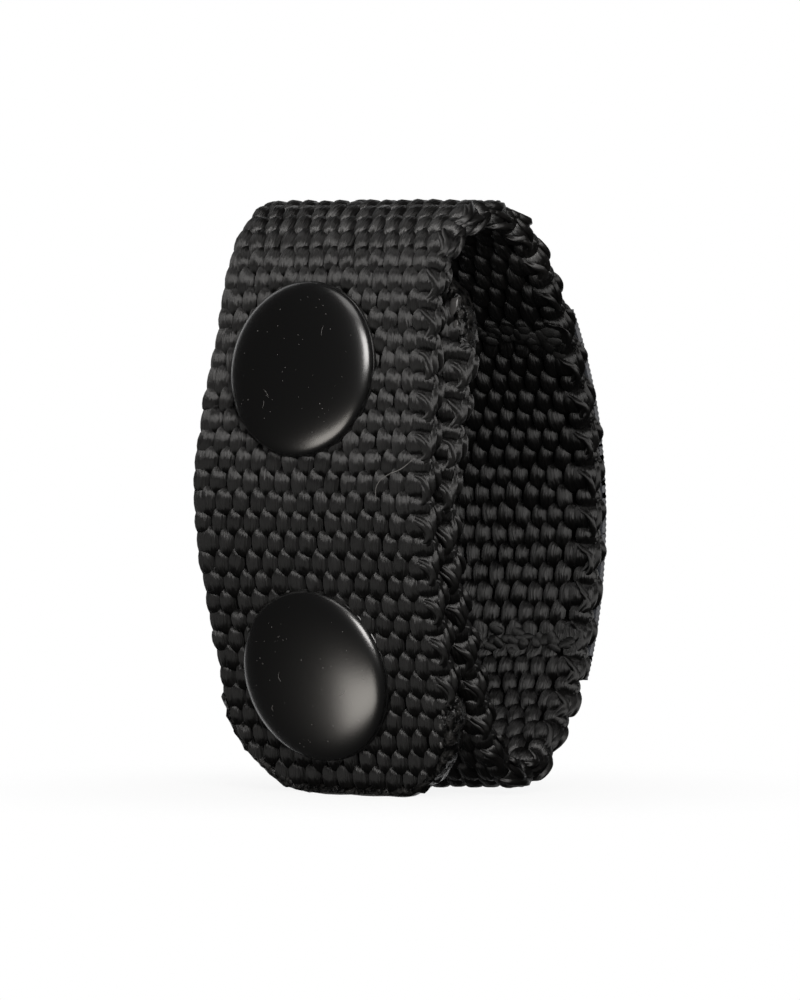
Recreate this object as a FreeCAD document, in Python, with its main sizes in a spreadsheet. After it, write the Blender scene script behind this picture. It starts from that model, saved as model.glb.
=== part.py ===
import FreeCAD, Part
import Sketcher
import math
import os

# Belt keeper: one strip of heavy webbing folded into an upright loop.  The strip's two ends
# overlap at the front, where two press snaps close them, and a woven label is sewn on the back.
# Millimetres.  X runs across the webbing, -Y is the front with the caps, +Z is up, and Z = 0 is
# the surface that the loop stands on.

PARTS_FOLDER = "parts"

# Sizes that drive the model.  A turn is in degrees and is positive where the strip bends
# round the inside of the loop.
SIZES = {
    "webbingWidth": 25.4,
    "halfThickness": 1.3,
    "selvageRadius": 1.0,
    # where the hidden end of the strip starts, and how far it leans from upright
    "innerTipDepth": -4.78,
    "innerTipHeight": 47.1,
    "innerUpperLean": 13.5,
    # the strip's stretches in order, from the hidden end to the end in front
    "innerUpperLength": 17.9,
    "innerBowLength": 11.2,
    "innerBowTurn": 33.0,
    "innerLowerLength": 13.5,
    "bottomFrontLength": 5.3,
    "bottomFrontTurn": 33.0,
    "bottomLength": 5.1,
    "bottomTurn": 76.0,
    "bottomRearLength": 9.2,
    "bottomRearTurn": 29.0,
    "rearLowerLength": 13.1,
    "rearLowerTurn": 18.0,
    "rearMiddleLength": 15.7,
    "rearMiddleTurn": 26.5,
    "rearUpperLength": 6.0,
    "rearUpperTurn": 8.5,
    "topRearLength": 7.7,
    "topRearTurn": 11.5,
    "topRiseLength": 6.2,
    "topRiseTurn": 42.5,
    "crownLength": 2.75,
    "crownTurn": 33.5,
    "topFallLength": 4.0,
    "topFallTurn": 25.5,
    "topFrontLength": 2.8,
    "topFrontTurn": 17.0,
    "shoulderLength": 1.2,
    "shoulderTurn": 8.0,
    "outerUpperLength": 13.9,
    "outerUpperTurn": 2.5,
    "outerBowUpperLength": 5.2,
    "outerBowUpperTurn": 12.0,
    "outerBowLowerLength": 7.7,
    "outerBowLowerTurn": 12.5,
    # rounded ends of the strip
    "outerCornerRadius": 8.5,
    "innerCornerRadius": 7.5,
    # snaps: how far both lie from the strip's middle line, the height of each one on the outer
    # flap, and how far its axis tips up from level
    "snapAcross": -1.3,
    "upperSnapHeight": 37.5,
    "upperSnapTilt": 7.5,
    "lowerSnapHeight": 10.9,
    "lowerSnapTilt": -12.0,
    # levels along a snap's axis, out from the middle of the outer flap's thickness; the
    # webbing is pressed thin between the metal pieces
    "capSeat": 1.0,
    "postSeat": 1.25,
    "socketSeat": 0.8,
    "studSeat": 3.1,
    "eyeletSeat": 4.6,
    # cap, and the post that it is rolled over
    "capRadius": 7.65,
    "capLipRadius": 6.2,
    "capRim": 1.1,
    "capRise": 1.25,
    "capWall": 0.4,
    "capRounding": 0.45,
    "capClearance": 0.2,
    "postFlangeRadius": 6.9,
    "postFlange": 0.35,
    "barrelRadius": 1.9,
    "barrelBore": 1.4,
    "flareRadius": 2.4,
    "flare": 0.2,
    "holeRadius": 2.0,
    # socket, and the split ring that grips the stud
    "socketRadius": 6.2,
    "socketPlate": 0.35,
    "socketFlange": 0.5,
    "socketHeight": 1.8,
    "socketBarrelRadius": 4.3,
    "socketCavityRadius": 3.8,
    "socketMouthRadius": 3.4,
    "socketLip": 0.2,
    "ringRadius": 3.18,
    "ringWire": 0.2,
    "ringLevel": 2.15,
    "ringSweep": 325.0,
    # stud
    "studRadius": 5.2,
    "studFlange": 0.3,
    "studNeckRadius": 2.85,
    "studHeadRadius": 3.1,
    "studNeck": 0.8,
    "studShoulder": 0.15,
    "studHead": 0.25,
    "studBore": 2.5,
    # eyelet that holds the stud
    "eyeletRadius": 4.9,
    "eyeletFlange": 0.45,
    # label on the back, and the two rows of thread that hold it
    "labelThickness": 0.7,
    "labelWidth": 24.6,
    "labelGap": 0.05,
    "labelBottomMargin": 1.1,
    "labelTopMargin": 0.6,
    "topRowInset": 1.3,
    "bottomRowInset": 2.9,
    "stitchLength": 1.35,
    "stitchPitch": 1.85,
    "stitchWidth": 0.45,
    "stitchHeight": 0.22,
}

STRIP = [
    "innerUpper", "innerBow", "innerLower", "bottomFront", "bottom", "bottomRear",
    "rearLower", "rearMiddle", "rearUpper", "topRear", "topRise", "crown", "topFall",
    "topFront", "shoulder", "outerUpper", "outerBowUpper", "outerBowLower", "outerLower",
]

# Stretches that are straight; the last of them ends at the floor.
STRAIGHT = ["innerUpper", "innerLower", "outerLower"]

# Each node of webbing is some neighbouring stretches of the strip.
WEBBING = {
    "inner_flap": ["innerUpper", "innerBow", "innerLower", "bottomFront"],
    "bottom_bend": ["bottom", "bottomRear"],
    "rear_wall": ["rearLower", "rearMiddle", "rearUpper"],
    "top_bend_rear": ["topRear"],
    "top_bend_crown": ["topRise", "crown"],
    "top_bend_front": ["topFall", "topFront"],
    "outer_flap_upper": ["shoulder", "outerUpper", "outerBowUpper"],
    "outer_flap_lower": ["outerBowLower", "outerLower"],
}

doc = FreeCAD.newDocument("BeltKeeper")
sheet = doc.addObject("Spreadsheet::Sheet", "Sizes")
for row, (name, value) in enumerate(SIZES.items(), start=1):
    sheet.set("A%d" % row, name)
    sheet.set("B%d" % row, str(value))
    sheet.setAlias("B%d" % row, name)
doc.recompute()


def size(name):
    return float(sheet.get(name))


def measure(text):
    """The value of a sum such as 'capRim - capWall', whose words are sizes in the sheet."""
    total = 0.0
    sign = 1.0
    for word in text.split():
        if word in "+-":
            sign = 1.0 if word == "+" else -1.0
        else:
            total += sign * (size(word) if word in SIZES else float(word))
    return total


def boundTo(text):
    """The same sum as an expression that follows the sheet."""
    return " ".join("Sizes." + word if word in SIZES else word for word in text.split())


halfThickness = size("halfThickness")
halfWidth = size("webbingWidth") / 2


class Stretch:
    """One stretch of the strip's middle line: straight, or an arc in the YZ plane."""

    def __init__(self, start, heading, length, turn):
        self.start = start
        self.heading = heading
        self.length = length
        self.turn = math.radians(turn)
        self.end = self.at(length)
        self.endHeading = heading + self.turn

    def at(self, distance, offset=0.0):
        """The point at a distance along the middle line, and an offset to its outer side."""
        y, z = self.start
        heading = self.heading
        if abs(self.turn) < 1e-9:
            y += distance * math.cos(heading)
            z += distance * math.sin(heading)
        else:
            radius = self.length / self.turn
            now = heading + distance / radius
            y += radius * (math.sin(now) - math.sin(heading))
            z -= radius * (math.cos(now) - math.cos(heading))
            heading = now
        return (y + offset * math.sin(heading), z - offset * math.cos(heading))

    def headingAt(self, distance):
        return self.heading + self.turn * distance / self.length

    def edge(self, offset, backwards=False):
        stations = [0.0, self.length / 2, self.length]
        if backwards:
            stations.reverse()
        ends = [FreeCAD.Vector(*self.at(station, offset), 0) for station in stations]
        if abs(self.turn) < 1e-9:
            return Part.LineSegment(ends[0], ends[2])
        return Part.Arc(*ends)


def layStrip():
    """Lays the stretches end to end, starting at the hidden end of the strip."""
    place = (size("innerTipDepth"), size("innerTipHeight"))
    heading = math.radians(-90 - size("innerUpperLean"))
    laid = {}
    for name in STRIP:
        turn = 0.0 if name in STRAIGHT else size(name + "Turn")
        if name == "outerLower":
            edgeDrop = halfThickness * abs(math.cos(heading))
            length = (place[1] - edgeDrop) / -math.sin(heading)
        else:
            length = size(name + "Length")
        laid[name] = Stretch(place, heading, length, turn)
        place = laid[name].end
        heading = laid[name].endHeading
    return laid


strip = layStrip()


def trimmed(names, fromStart, fromEnd):
    """The same stretches, cut shorter at the first one's start and the last one's end."""
    cut = [strip[name] for name in names]
    first = cut[0]
    left = 1 - fromStart / first.length
    cut[0] = Stretch(first.at(fromStart), first.headingAt(fromStart), first.length * left,
                     math.degrees(first.turn) * left)
    last = cut[-1]
    left = 1 - fromEnd / last.length
    cut[-1] = Stretch(last.start, last.heading, last.length * left,
                      math.degrees(last.turn) * left)
    return cut


def originPlane(body, role):
    for feature in body.Origin.OriginFeatures:
        if feature.Role == role:
            return feature
    raise ValueError(role)


def newBody(name):
    body = doc.addObject("PartDesign::Body", name)
    body.Label = name
    return body


def addSketch(body, name, role):
    sketch = body.newObject("Sketcher::SketchObject", name)
    sketch.AttachmentSupport = [(originPlane(body, role), "")]
    sketch.MapMode = "FlatFace"
    return sketch


def cornerAt(sketch, edge, place):
    """Which end of an edge lies at a place: a sketch keeps its arcs counter-clockwise."""
    return 1 if sketch.getPoint(edge, 1).distanceToPoint(place) < 1e-6 else 2


def addOutline(sketch, edges):
    """Adds a closed outline, each edge's end tied to the next edge's start."""
    first = sketch.GeometryCount
    sketch.addGeometry(edges, False)
    count = len(edges)
    for number, edge in enumerate(edges):
        this = first + number
        following = first + (number + 1) % count
        place = edge.EndPoint
        sketch.addConstraint(Sketcher.Constraint("Coincident", this, cornerAt(sketch, this, place),
                                                 following, cornerAt(sketch, following, place)))
    return first


def bind(sketch, constraint, expression):
    number = sketch.addConstraint(constraint)
    sketch.setExpression("Constraints[%d]" % number, expression)


def polygon(points):
    places = [FreeCAD.Vector(across, up, 0) for across, up in points]
    return [Part.LineSegment(a, b) for a, b in zip(places, places[1:] + places[:1])]


def finish(body, feature):
    body.Tip = feature
    doc.recompute()
    return feature


def cutAway(body, feature):
    """Finishes a feature that takes material away, and makes sure that it took some."""
    before = body.Shape.Volume
    finish(body, feature)
    if body.Shape.Volume > before - 1e-3:
        raise ValueError(feature.Name + " cut nothing")


def padAcross(body, sketch, name, widthName):
    pad = body.newObject("PartDesign::Pad", name)
    pad.Profile = sketch
    pad.Midplane = True
    pad.setExpression("Length", "Sizes." + widthName)
    return finish(body, pad)


def pocketThrough(body, sketch, name):
    pocket = body.newObject("PartDesign::Pocket", name)
    pocket.Profile = sketch
    pocket.Midplane = True
    pocket.Type = "ThroughAll"
    cutAway(body, pocket)


def bandOutline(stretches, low, high):
    """Edges round a band that lies between two offsets from the strip's middle line."""
    first = stretches[0]
    last = stretches[-1]
    endLine = [last.at(last.length, offset) for offset in (high, low)]
    startLine = [first.at(0, offset) for offset in (low, high)]
    edges = [stretch.edge(high) for stretch in stretches]
    edges += polygon(endLine)[:1]
    edges += [stretch.edge(low, backwards=True) for stretch in reversed(stretches)]
    edges += polygon(startLine)[:1]
    return edges


def selvageEdges(shape):
    """The long edges that run along the strip at its two sides."""
    names = []
    for number, edge in enumerate(shape.Edges, start=1):
        ends = [vertex.X for vertex in edge.Vertexes]
        atSide = max(ends) - min(ends) < 1e-3 and abs(abs(ends[0]) - halfWidth) < 1e-3
        endLine = abs(edge.Length - 2 * halfThickness) < 1e-3
        if atSide and not endLine:
            names.append("Edge%d" % number)
    return names


def webbingBody(name, stretchNames):
    body = newBody(name)
    sketch = addSketch(body, name + "_side", "YZ_Plane")
    edges = bandOutline([strip[key] for key in stretchNames], -halfThickness, halfThickness)
    endLine = addOutline(sketch, edges) + len(stretchNames)
    bind(sketch, Sketcher.Constraint("Distance", endLine, 1, endLine, 2, 2 * halfThickness),
         "2 * Sizes.halfThickness")
    pad = padAcross(body, sketch, name + "_pad", "webbingWidth")
    rounding = body.newObject("PartDesign::Fillet", name + "_selvage")
    rounding.Base = (pad, selvageEdges(pad.Shape))
    rounding.setExpression("Radius", "Sizes.selvageRadius")
    cutAway(body, rounding)
    return body


def roundEnd(body, end, radiusName, inward):
    """Rounds both corners at an end of the strip; inward is 1 where the strip lies above it."""
    radius = size(radiusName)
    beyond = end - inward * radius
    start = end + inward * radius
    side = halfWidth + radius
    halfway = radius * math.sqrt(0.5)
    sketch = addSketch(body, body.Name + "_corners", "XZ_Plane")
    for hand in (-1, 1):
        centre = halfWidth - radius
        corners = [(centre, end), (centre, beyond), (side, beyond), (side, start),
                   (halfWidth, start)]
        edges = polygon([(hand * across, up) for across, up in corners])[:-1]
        edges.append(Part.Arc(edges[-1].EndPoint,
                              FreeCAD.Vector(hand * (centre + halfway), start - inward * halfway, 0),
                              edges[0].StartPoint))
        arc = addOutline(sketch, edges) + len(edges) - 1
        bind(sketch, Sketcher.Constraint("Radius", arc, radius), "Sizes." + radiusName)
    pocketThrough(body, sketch, body.Name + "_round_end")


def cutLand(body):
    """Takes the underside flat at Z = 0, where the loop stands."""
    reach = size("webbingWidth")
    sketch = addSketch(body, body.Name + "_under_floor", "YZ_Plane")
    addOutline(sketch, polygon([(-reach, -reach), (reach, -reach), (reach, 0), (-reach, 0)]))
    pocketThrough(body, sketch, body.Name + "_land")


def heightOn(stretch, height):
    """The point of a stretch's middle line at a height, found by halving."""
    near = 0.0
    far = stretch.length
    while far - near > 1e-9:
        middle = (near + far) / 2
        if stretch.at(middle)[1] > height:
            near = middle
        else:
            far = middle
    return stretch.at(near)


def snapPlacement(which):
    """A snap's own frame: it starts in the outer flap's thickness, and -Y points out of the cap."""
    flap = strip["outerUpper"] if which == "upper" else strip["outerLower"]
    y, z = heightOn(flap, size(which + "SnapHeight"))
    return FreeCAD.Placement(FreeCAD.Vector(size("snapAcross"), y, z),
                             FreeCAD.Rotation(FreeCAD.Vector(1, 0, 0), -size(which + "SnapTilt")))


def axisArc(begin, end):
    """An arc between two points of a profile, with its centre on the snap's axis."""
    centre = ((begin.x ** 2 + begin.y ** 2 - end.x ** 2 - end.y ** 2)
              / (2 * (begin.x - end.x)))
    radius = math.hypot(begin.x - centre, begin.y)
    angle = (math.atan2(begin.y, begin.x - centre) + math.atan2(end.y, end.x - centre)) / 2
    middle = FreeCAD.Vector(centre + radius * math.cos(angle), radius * math.sin(angle), 0)
    return Part.Arc(begin, middle, end)


def addProfile(sketch, points, domes=()):
    """
    A closed half outline, held by its sizes.  Each point is two sums: how far it lies out
    along the snap's axis, and how far from the axis.  An edge whose number is in domes is an
    arc that starts at that point.
    """
    places = [FreeCAD.Vector(-measure(out), measure(away), 0) for out, away in points]
    edges = []
    for number, begin in enumerate(places):
        end = places[(number + 1) % len(places)]
        edges.append(axisArc(begin, end) if number in domes else Part.LineSegment(begin, end))
    first = addOutline(sketch, edges)
    for number in domes:
        sketch.addConstraint(Sketcher.Constraint("PointOnObject", first + number, 3, -1))
    for number, (out, away) in enumerate(points):
        start = first + number
        corner = cornerAt(sketch, start, places[number])
        bind(sketch, Sketcher.Constraint("DistanceX", start, corner, places[number].x),
             "-(" + boundTo(out) + ")")
        bind(sketch, Sketcher.Constraint("DistanceY", start, corner, places[number].y),
             boundTo(away))


def turnedBody(name, points, placement, domes=()):
    """A piece turned about a snap's axis."""
    body = newBody(name)
    sketch = addSketch(body, name + "_profile", "YZ_Plane")
    addProfile(sketch, points, domes)
    turned = body.newObject("PartDesign::Revolution", name + "_turned")
    turned.Profile = sketch
    turned.ReferenceAxis = (sketch, ["H_Axis"])
    turned.Angle = 360
    finish(body, turned)
    body.Placement = placement
    return body


def cutSeat(body, name, points, placement, tilt):
    """Cuts a snap's stepped seats and hole through the webbing."""
    sketch = addSketch(body, name, "YZ_Plane")
    offset = FreeCAD.Vector(placement.Base.y, placement.Base.z, placement.Base.x)
    sketch.AttachmentOffset = FreeCAD.Placement(offset, FreeCAD.Rotation(FreeCAD.Vector(0, 0, 1), -tilt))
    addProfile(sketch, points)
    groove = body.newObject("PartDesign::Groove", name + "_cut")
    groove.Profile = sketch
    groove.ReferenceAxis = (sketch, ["H_Axis"])
    groove.Angle = 360
    cutAway(body, groove)


# How far the cuts for the seats reach beyond the webbing, along a snap's axis.
IN_FRONT = "4"
BETWEEN = "2.3"
OVER_STUD = "1.5"
BEHIND = "6.2"

OUTER_SEAT = [
    (IN_FRONT, "0"),
    (IN_FRONT, "capRadius + capClearance"),
    ("capSeat", "capRadius + capClearance"),
    ("capSeat", "capLipRadius - capClearance"),
    ("postSeat", "capLipRadius - capClearance"),
    ("postSeat", "holeRadius"),
    ("0 - socketSeat", "holeRadius"),
    ("0 - socketSeat", "socketRadius + capClearance"),
    ("0 - " + BETWEEN, "socketRadius + capClearance"),
    ("0 - " + BETWEEN, "0"),
]

INNER_SEAT = [
    ("0 - " + OVER_STUD, "0"),
    ("0 - " + OVER_STUD, "studRadius + capClearance"),
    ("0 - studSeat", "studRadius + capClearance"),
    ("0 - studSeat", "holeRadius"),
    ("0 - eyeletSeat", "holeRadius"),
    ("0 - eyeletSeat", "eyeletRadius + capClearance"),
    ("0 - " + BEHIND, "eyeletRadius + capClearance"),
    ("0 - " + BEHIND, "0"),
]

# The shell is rolled in under its post's flange.  The edges from points 2 and 4 are domes.
CAP = [
    ("capSeat", "capLipRadius"),
    ("capSeat", "capRadius"),
    ("capSeat + capRim", "capRadius"),
    ("capSeat + capRim + capRise", "0"),
    ("capSeat + capRim + capRise - capWall", "0"),
    ("capSeat + capRim - capWall", "capRadius - capWall"),
    ("postSeat", "capRadius - capWall"),
    ("postSeat", "capLipRadius"),
]
CAP_DOMES = (2, 4)

POST = [
    ("postSeat + postFlange", "barrelBore"),
    ("postSeat + postFlange", "postFlangeRadius"),
    ("postSeat", "postFlangeRadius"),
    ("postSeat", "barrelRadius"),
    ("0 - socketSeat - socketPlate", "barrelRadius"),
    ("0 - socketSeat - socketPlate", "flareRadius"),
    ("0 - socketSeat - socketPlate - flare", "flareRadius"),
    ("0 - socketSeat - socketPlate - flare", "barrelBore"),
]

SOCKET = [
    ("0 - socketSeat", "holeRadius"),
    ("0 - socketSeat", "socketRadius"),
    ("0 - socketSeat - socketFlange", "socketRadius"),
    ("0 - socketSeat - socketFlange", "socketBarrelRadius"),
    ("0 - socketSeat - socketHeight", "socketBarrelRadius"),
    ("0 - socketSeat - socketHeight", "socketMouthRadius"),
    ("0 - socketSeat - socketHeight + socketLip", "socketMouthRadius"),
    ("0 - socketSeat - socketHeight + socketLip", "socketCavityRadius"),
    ("0 - socketSeat - socketPlate", "socketCavityRadius"),
    ("0 - socketSeat - socketPlate", "holeRadius"),
]

STUD = [
    ("0 - studSeat", "holeRadius"),
    ("0 - studSeat", "studRadius"),
    ("0 - studSeat + studFlange", "studRadius"),
    ("0 - studSeat + studFlange", "studNeckRadius"),
    ("0 - studSeat + studFlange + studNeck", "studNeckRadius"),
    ("0 - studSeat + studFlange + studNeck + studShoulder", "studHeadRadius"),
    ("0 - studSeat + studFlange + studNeck + studShoulder + studHead", "studHeadRadius"),
    ("0 - studSeat + studFlange + studNeck + studShoulder + studHead", "studBore"),
    ("0 - studSeat + studFlange", "studBore"),
    ("0 - studSeat + studFlange", "holeRadius"),
]

EYELET = [
    ("0 - eyeletSeat - eyeletFlange", "barrelBore"),
    ("0 - eyeletSeat - eyeletFlange", "eyeletRadius"),
    ("0 - eyeletSeat", "eyeletRadius"),
    ("0 - eyeletSeat", "barrelRadius"),
    ("0 - studSeat + studFlange", "barrelRadius"),
    ("0 - studSeat + studFlange", "flareRadius"),
    ("0 - studSeat + studFlange + flare", "flareRadius"),
    ("0 - studSeat + studFlange + flare", "barrelBore"),
]


def roundCapRim(body):
    """Rounds the cap where its dome meets its side, and at its lower edge."""
    base = body.Tip
    names = []
    for number, edge in enumerate(base.Shape.Edges, start=1):
        box = edge.BoundBox
        outside = abs(box.ZLength / 2 - size("capRadius")) < 1e-3
        if outside and box.YLength < 1e-3:
            names.append("Edge%d" % number)
    rounding = body.newObject("PartDesign::Fillet", body.Name + "_rim")
    rounding.Base = (base, names)
    rounding.setExpression("Radius", "Sizes.capRounding")
    cutAway(body, rounding)


def splitRing(name, placement):
    """The sprung wire ring in the socket, open at one side."""
    ring = doc.addObject("Part::Torus", name)
    ring.Label = name
    ring.setExpression("Radius1", "Sizes.ringRadius")
    ring.setExpression("Radius2", "Sizes.ringWire")
    ring.setExpression("Angle3", "Sizes.ringSweep")
    level = FreeCAD.Vector(0, size("ringLevel"), 0)
    facing = FreeCAD.Rotation(FreeCAD.Vector(1, 0, 0), 90)
    ring.Placement = placement.multiply(FreeCAD.Placement(level, facing))
    return ring


def labelBody(name, stretches):
    """The woven label, which follows the rear wall's outer face."""
    low = halfThickness + size("labelGap")
    body = newBody(name)
    sketch = addSketch(body, name + "_side", "YZ_Plane")
    endLine = addOutline(sketch, bandOutline(stretches, low, low + size("labelThickness")))
    endLine += len(stretches)
    bind(sketch, Sketcher.Constraint("Distance", endLine, 1, endLine, 2, size("labelThickness")),
         "Sizes.labelThickness")
    padAcross(body, sketch, name + "_pad", "labelWidth")
    return body


def stitchRow(name, stretch, distance):
    """One row of thread: a run of stitches on the label, and one on the webbing's inner face."""
    long = size("stitchLength")
    wide = size("stitchWidth")
    high = size("stitchHeight")
    pitch = size("stitchPitch")
    count = int(size("labelWidth") // pitch)
    heading = math.degrees(stretch.headingAt(distance))
    onLabel = halfThickness + size("labelGap") + size("labelThickness")
    stitches = []
    for level in (onLabel, -halfThickness - high):
        y, z = stretch.at(distance, level)
        for number in range(count):
            stitch = Part.makeBox(long, wide, high, FreeCAD.Vector(-long / 2, -wide / 2, 0))
            outside = high if level > 0 else 0.0
            rim = [edge for edge in stitch.Edges
                   if all(abs(vertex.Z - outside) < 1e-6 for vertex in edge.Vertexes)]
            stitch = stitch.makeFillet(high / 2, rim)
            across = (number - (count - 1) / 2) * pitch
            # the box's Z points out of the loop
            turn = FreeCAD.Rotation(FreeCAD.Vector(1, 0, 0), heading + 180)
            stitch.Placement = FreeCAD.Placement(FreeCAD.Vector(across, y, z), turn)
            stitches.append(stitch)
    row = doc.addObject("Part::Feature", name)
    row.Label = name
    row.Shape = Part.makeCompound(stitches)
    return row


webbing = {name: webbingBody(name, names) for name, names in WEBBING.items()}
roundEnd(webbing["outer_flap_lower"], 0.0, "outerCornerRadius", 1)
innerEnd = max(strip["innerUpper"].at(0, offset)[1] for offset in (-halfThickness, halfThickness))
roundEnd(webbing["inner_flap"], innerEnd, "innerCornerRadius", -1)
cutLand(webbing["bottom_bend"])
pieces = list(webbing.values())

for which in ("upper", "lower"):
    place = snapPlacement(which)
    tilt = size(which + "SnapTilt")
    cutSeat(webbing["outer_flap_" + which], which + "_outer_seat", OUTER_SEAT, place, tilt)
    cutSeat(webbing["inner_flap"], which + "_inner_seat", INNER_SEAT, place, tilt)
    snap = which + "_snap_"
    cap = turnedBody(snap + "cap", CAP, place, CAP_DOMES)
    roundCapRim(cap)
    pieces += [
        cap,
        turnedBody(snap + "post", POST, place),
        turnedBody(snap + "socket", SOCKET, place),
        splitRing(snap + "spring", place),
        turnedBody(snap + "stud", STUD, place),
        turnedBody(snap + "eyelet", EYELET, place),
    ]

rear = WEBBING["rear_wall"]
label = trimmed(rear, size("labelBottomMargin"), size("labelTopMargin"))
pieces.append(labelBody("label", label))
pieces.append(stitchRow("label_top_stitching", label[-1], label[-1].length - size("topRowInset")))
pieces.append(stitchRow("label_bottom_stitching", label[0], size("bottomRowInset")))

doc.recompute()

for item in doc.Objects:
    if "Invalid" in item.State or "Error" in item.State:
        raise ValueError(item.Name + " failed: " + str(item.State))
for piece in pieces:
    if piece.Shape.isNull() or not piece.Shape.isValid():
        raise ValueError(piece.Label + " has no valid shape")

os.makedirs(PARTS_FOLDER, exist_ok=True)
for piece in pieces:
    piece.Shape.exportStep(os.path.join(PARTS_FOLDER, piece.Label + ".step"))
    print(piece.Label, "solids", len(piece.Shape.Solids), "volume %.1f" % piece.Shape.Volume)

stripLength = sum(strip[name].length for name in STRIP)
print("strip length %.1f" % stripLength)
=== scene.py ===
import math
import random

import bpy
from mathutils import Matrix, Vector, noise


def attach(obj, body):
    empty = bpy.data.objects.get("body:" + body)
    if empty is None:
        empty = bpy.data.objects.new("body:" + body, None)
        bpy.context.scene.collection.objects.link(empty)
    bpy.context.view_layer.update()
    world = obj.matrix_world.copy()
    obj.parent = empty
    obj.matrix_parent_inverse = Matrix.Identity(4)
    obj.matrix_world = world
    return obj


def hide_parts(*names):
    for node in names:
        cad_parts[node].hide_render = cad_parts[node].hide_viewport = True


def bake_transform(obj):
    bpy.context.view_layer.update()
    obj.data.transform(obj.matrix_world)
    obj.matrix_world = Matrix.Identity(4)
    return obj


# Belt keeper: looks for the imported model.  Sizes are in millimetres and turned into metres
# when a mesh is finished.

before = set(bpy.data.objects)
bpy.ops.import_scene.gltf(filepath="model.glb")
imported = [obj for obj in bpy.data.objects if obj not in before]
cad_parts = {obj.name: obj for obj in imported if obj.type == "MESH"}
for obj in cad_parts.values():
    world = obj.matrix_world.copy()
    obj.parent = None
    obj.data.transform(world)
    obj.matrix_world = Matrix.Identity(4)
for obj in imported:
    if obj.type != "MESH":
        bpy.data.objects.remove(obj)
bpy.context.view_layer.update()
mm = 0.001
noise.seed_set(7)    # unseeded, Blender's vector noise changes from run to run
print("frame loaded:", len(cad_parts), "nodes")


def selectNone():
    bpy.ops.object.select_all(action="DESELECT")


def selectOnly(*objects):
    selectNone()
    for obj in objects:
        obj.select_set(True)
    bpy.context.view_layer.objects.active = objects[0]


def editMode():
    bpy.ops.object.mode_set(mode="EDIT")


def objectMode():
    bpy.ops.object.mode_set(mode="OBJECT")


def startPiece(addPrimitive, **settings):
    # a new primitive, alone in the selection and open in edit mode
    selectNone()
    addPrimitive(**settings)
    editMode()
    bpy.ops.mesh.select_all(action="SELECT")
    return bpy.context.active_object


def joinAll(objects, name):
    selectOnly(*objects)
    bpy.ops.object.join()
    joined = bpy.context.active_object
    joined.name = joined.data.name = name
    return joined


def copyOf(unit, place):
    mesh = unit.data.copy()
    mesh.transform(place)
    obj = bpy.data.objects.new(unit.name + "_copy", mesh)
    bpy.context.scene.collection.objects.link(obj)
    return obj


def removeAll(*objects):
    for obj in objects:
        bpy.data.objects.remove(obj)


def smoothed(obj, degrees=60):
    selectOnly(obj)
    bpy.ops.object.shade_smooth_by_angle(angle=math.radians(degrees))
    return obj


# The folded strip: its stretches in order from the hidden end, each a length and a turn in
# degrees, positive where it bends round the inside of the loop.
strip = {
    "width": 25.4,
    "halfThickness": 1.3,
    "start": (-4.78, 47.1),
    "lean": 13.5,
    "stretches": [
        (17.9, 0), (11.2, 33), (13.5, 0), (5.3, 33),                     # inner flap
        (5.1, 76), (9.2, 29), (13.1, 18), (15.7, 26.5), (6.0, 8.5),      # bottom and rear wall
        (7.7, 11.5), (6.2, 42.5), (2.75, 33.5), (4.0, 25.5), (2.8, 17),  # top bend
        (1.2, 8), (13.9, 2.5), (5.2, 12), (7.7, 12.5), (18.52, 0),       # outer flap
    ],
    # the weave's rows along the strip and its columns across
    "rowPitch": 1.79,
    "firstRow": 0.98,
    "firstColumn": -11.28,
    "columnPitch": 1.807,
    "columns": 13,
    "columnShift": 0.44,    # of a column, for every second row
    "shoulderRow": 67,      # from where the outer flap hangs down
    "cutInset": 0.35,       # how far inside the cut ends the weave stops
    "waviness": 0.16,
    "wavinessScale": 0.16,
    # how the real loop differs from an even one, each with the spans along the strip over
    # which it comes in and fades again
    "narrowing": 0.065,
    "narrowingSpans": ((106, 118), (122, 138)),
    "twist": 0.4,
    "twistSpans": ((104, 116), (122, 138)),
    "tipTwistSpan": (143, 160),
    "skew": 0.015,
    "skewSpan": (148, 166),
    "bendLift": 0.8,
    "liftSpans": ((36, 50), (56, 70)),
    "liftAcross": (-10, 12),
    "lowest": -0.15,
}


def layStrip():
    laid = []
    distance = 0.0
    y, z = strip["start"]
    heading = math.radians(-90 - strip["lean"])
    for length, degrees in strip["stretches"]:
        turn = math.radians(degrees)
        laid.append((distance, length, turn, y, z, heading))
        if turn:
            radius = length / turn
            y += radius * (math.sin(heading + turn) - math.sin(heading))
            z -= radius * (math.cos(heading + turn) - math.cos(heading))
        else:
            y += length * math.cos(heading)
            z += length * math.sin(heading)
        heading += turn
        distance += length
    return laid


stretches = layStrip()
stripLength = stretches[-1][0] + stretches[-1][1]


def pathAt(distance):
    # the middle line's y, z and heading at a distance from the hidden end
    for start, length, turn, y, z, heading in reversed(stretches):
        if distance >= start:
            break
    along = distance - start
    if turn:
        radius = length / turn
        now = heading + along / radius
        y += radius * (math.sin(now) - math.sin(heading))
        z -= radius * (math.cos(now) - math.cos(heading))
        return y, z, now
    return y + along * math.cos(heading), z + along * math.sin(heading), heading


def eased(value, low, high):
    share = min(max((value - low) / (high - low), 0.0), 1.0)
    return share * share * (3 - 2 * share)


def between(value, comingIn, fading):
    return eased(value, *comingIn) * (1 - eased(value, *fading))


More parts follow.
